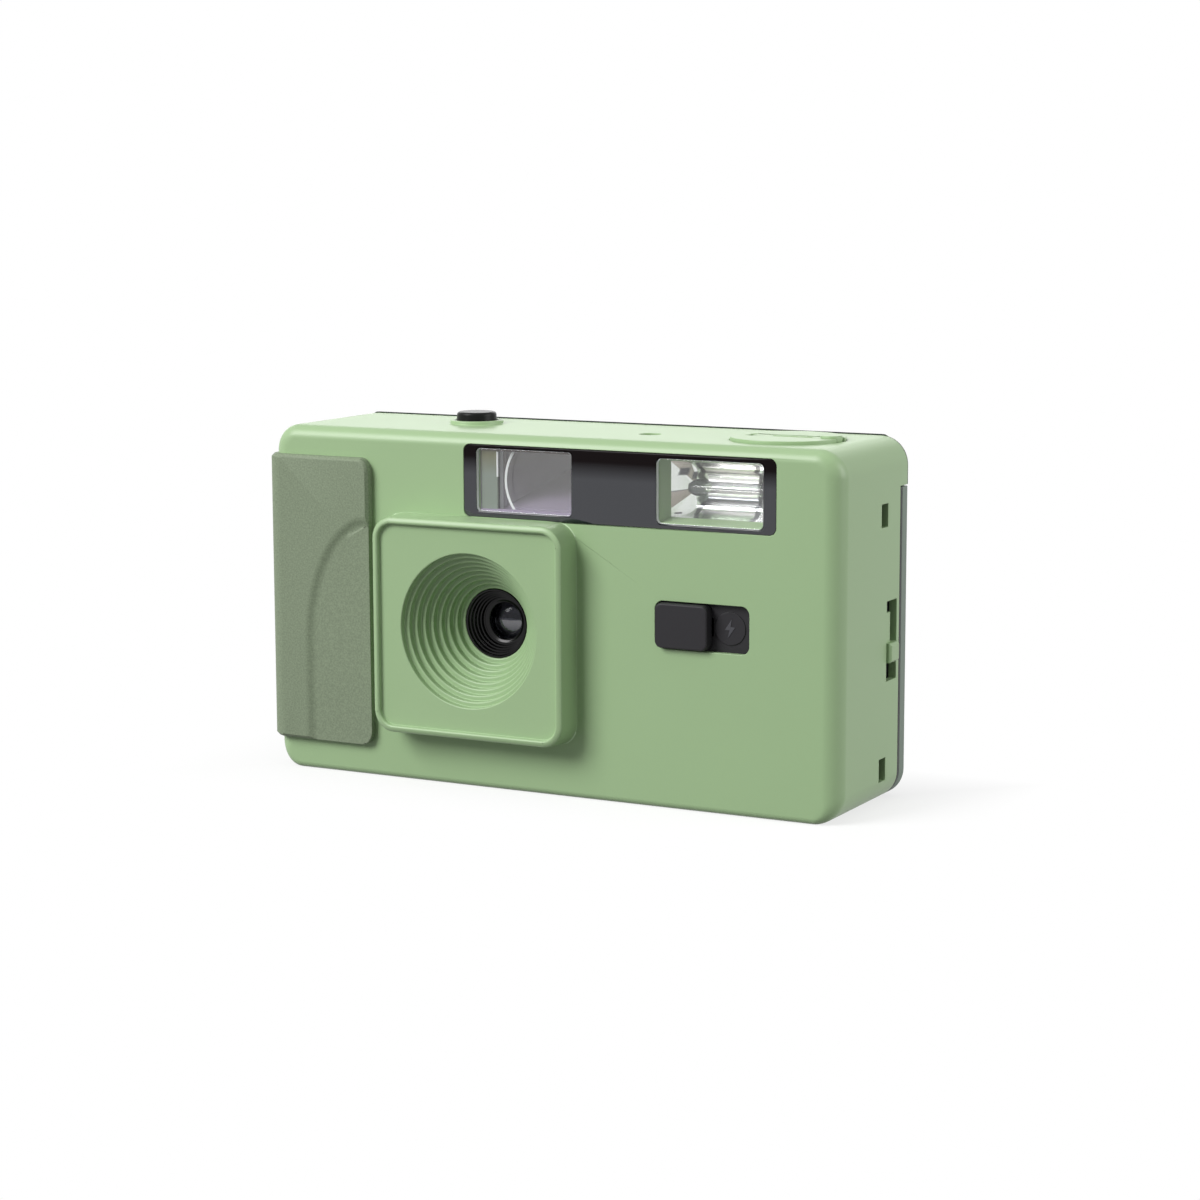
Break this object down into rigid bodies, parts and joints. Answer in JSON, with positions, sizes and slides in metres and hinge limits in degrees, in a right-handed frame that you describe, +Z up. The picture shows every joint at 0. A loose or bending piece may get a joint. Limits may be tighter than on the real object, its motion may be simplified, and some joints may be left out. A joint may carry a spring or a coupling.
{
  "type": "reusable film camera",
  "caption": "Compact reusable film camera with a stepped square lens housing, viewfinder, built-in flash, side grip, thumb-wheel advance, rewind crank and hinged back.",
  "frame": {"origin": "centre of the base, midway between the front and back faces of the body", "axes": "+Z up, the lens looks along -Y, +X to the right as seen from the front"},
  "size_m": [0.1167, 0.0359, 0.0662],
  "materials": {
    "cover_green": "satin moulded plastic, pale green",
    "grip_grey": "fine grained grey-green plastic",
    "panel_black": "glossy black",
    "clear_window": "clear moulded plastic",
    "lens_glass": "polished",
    "black_plastic": "satin black",
    "button_black": "glossy black",
    "back_grey": "fine grained grey-green",
    "shutter_metal": "flat black",
    "spring_steel": "bright drawn steel",
    "reflector_chrome": "bright vapour-coated",
    "tube_glass": "polished",
    "dial_white": "plain white",
    "board_green": "green solder mask",
    "capacitor_sleeve": "black sleeve",
    "coil_copper": "enamelled copper wire",
    "battery_sleeve": "plain grey sleeve",
    "lamp_orange": "translucent orange"
  },
  "bodies": {
    "camera": {"front_cover": "cover_green", "hand_grip": "grip_grey", "window_panel": "panel_black", "viewfinder_window": "clear_window", "flash_window": "clear_window", "counter_window": "clear_window", "front_lens_element": "lens_glass", "rear_lens_element": "lens_glass", "viewfinder_front_lens": "lens_glass", "viewfinder_rear_lens": "lens_glass", "main_chassis": "black_plastic", "lens_barrel": "black_plastic", "viewfinder_frame": "black_plastic", "switch_plate": "black_plastic", "rear_top_cover": "back_grey", "shutter_plate": "shutter_metal", "aperture_plate": "shutter_metal", "button_spring": "spring_steel", "release_spring": "spring_steel", "latch_spring": "spring_steel", "blade_spring": "spring_steel", "ratchet_spring": "spring_steel", "door_hinge_pin": "spring_steel", "chassis_screws": "spring_steel", "battery_contact_left": "spring_steel", "battery_contact_right": "spring_steel", "flash_reflector": "reflector_chrome", "flash_tube": "tube_glass", "flash_board": "board_green", "flash_capacitor": "capacitor_sleeve", "trigger_coil": "coil_copper", "battery": "battery_sleeve", "flash_ready_lamp": "lamp_orange"},
    "shutter_button": {"shutter_button": "button_black", "release_leg": "black_plastic"},
    "shutter_blade": {"shutter_blade": "shutter_metal"},
    "take_up": {"take_up_spool": "black_plastic", "thumb_wheel": "black_plastic"},
    "film_sprocket": {"sprocket_wheel": "black_plastic"},
    "frame_counter": {"counter_dial": "dial_white"},
    "rewind_carrier": {"rewind_clip": "spring_steel"},
    "rewind_handle": {"rewind_shaft": "black_plastic", "rewind_knob": "cover_green", "crank_pin": "spring_steel"},
    "rewind_crank": {"rewind_crank": "cover_green"},
    "door": {"back_door": "back_grey", "film_window": "clear_window", "pressure_spring": "spring_steel"},
    "film_pressure_plate": {"pressure_plate": "shutter_metal"},
    "door_latch": {"door_latch": "cover_green"},
    "flash_switch": {"flash_switch_slider": "black_plastic"},
    "battery_door": {"battery_door": "black_plastic"},
    "rewind_release": {"rewind_release_button": "black_plastic"}
  },
  "joints": [
    {"name": "shutter_press", "type": "slide", "parent": "camera", "child": "shutter_button", "axis": [0, 0, -1], "range_m": [0, 0.0015], "stiffness_N_per_m": 300, "springref_m": -0.002, "deforming": ["button_spring"]},
    {"name": "shutter_swing", "type": "hinge", "parent": "camera", "child": "shutter_blade", "pos_m": [-0.02195, -0.0022, 0.0315], "axis": [0, -1, 0], "range_deg": [0, 30]},
    {"name": "film_advance", "type": "hinge", "parent": "camera", "child": "take_up", "pos_m": [-0.0424, 0.0036, 0.0596], "axis": [0, 0, 1], "continuous": true},
    {"name": "sprocket_spin", "type": "hinge", "parent": "camera", "child": "film_sprocket", "pos_m": [0.0195, 0.00465, 0.0439], "axis": [0, 0, 1], "continuous": true},
    {"name": "counter_spin", "type": "hinge", "parent": "camera", "child": "frame_counter", "pos_m": [0.0124, 0.00145, 0.0602], "axis": [0, 0, 1], "continuous": true},
    {"name": "rewind_lift", "type": "slide", "parent": "camera", "child": "rewind_carrier", "axis": [0, 0, 1], "range_m": [0, 0.008]},
    {"name": "rewind_spin", "type": "hinge", "parent": "rewind_carrier", "child": "rewind_handle", "pos_m": [0.0405, 0, 0.0635], "axis": [0, 0, 1], "continuous": true},
    {"name": "crank_fold", "type": "hinge", "parent": "rewind_handle", "child": "rewind_crank", "pos_m": [0.0341, 0, 0.0641], "axis": [0, -1, 0], "range_deg": [0, 120]},
    {"name": "door_open", "type": "hinge", "parent": "camera", "child": "door", "pos_m": [-0.0554, 0.0132, 0.0277], "axis": [0, 0, 1], "range_deg": [0, 145]},
    {"name": "plate_press", "type": "slide", "parent": "door", "child": "film_pressure_plate", "axis": [0, 1, 0], "range_m": [0, 0.0006], "stiffness_N_per_m": 300, "springref_m": -0.001, "deforming": ["pressure_spring"]},
    {"name": "latch_slide", "type": "slide", "parent": "camera", "child": "door_latch", "axis": [0, 0, -1], "range_m": [0, 0.0031], "stiffness_N_per_m": 150, "springref_m": -0.002, "deforming": ["latch_spring"]},
    {"name": "flash_switch_slide", "type": "slide", "parent": "camera", "child": "flash_switch", "axis": [1, 0, 0], "range_m": [0, 0.007]},
    {"name": "battery_door_open", "type": "hinge", "parent": "camera", "child": "battery_door", "pos_m": [0, -0.00205, 0.00075], "axis": [1, 0, 0], "range_deg": [0, 90]},
    {"name": "release_press", "type": "slide", "parent": "camera", "child": "rewind_release", "axis": [0, 0, 1], "range_m": [0, 0.0012], "stiffness_N_per_m": 200, "springref_m": -0.002, "deforming": ["release_spring"]}
  ],
  "couplings": [
    {"joint": "shutter_swing", "follows": "shutter_press", "rad_per_m": 349},
    {"joint": "counter_spin", "follows": "sprocket_spin", "ratio": -0.025}
  ]
}
